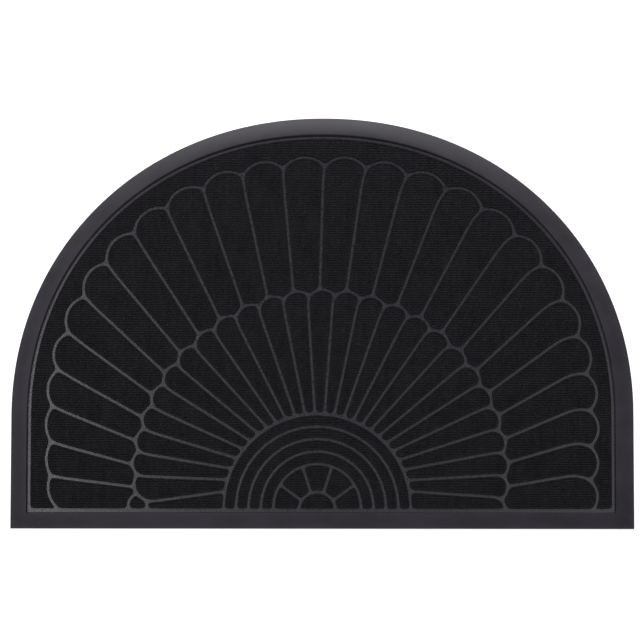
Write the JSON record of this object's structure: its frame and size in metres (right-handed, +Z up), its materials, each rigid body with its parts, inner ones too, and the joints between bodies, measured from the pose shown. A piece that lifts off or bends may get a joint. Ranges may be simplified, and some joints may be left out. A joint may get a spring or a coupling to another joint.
{
  "type": "half-round doormat",
  "caption": "Half-round doormat: flat moulded rubber base with a ramped border, and a pressed black pile carpet in its tray, with a fan of round-ended petals pressed into the pile.",
  "frame": {"origin": "on the underside, below the middle of the mat's width and depth", "axes": "+X along the straight edge to the right, +Y from the straight edge towards the crown of the arch, +Z up out of the pile"},
  "size_m": [0.9, 0.596, 0.008],
  "materials": {
    "rubber": "dull moulded rubber",
    "pile": "short dense ribbed pile, pressed flat and slightly shiny in the channels"
  },
  "bodies": {
    "root": {"rubber_base": "rubber", "carpet": "pile"}
  },
  "joints": []
}
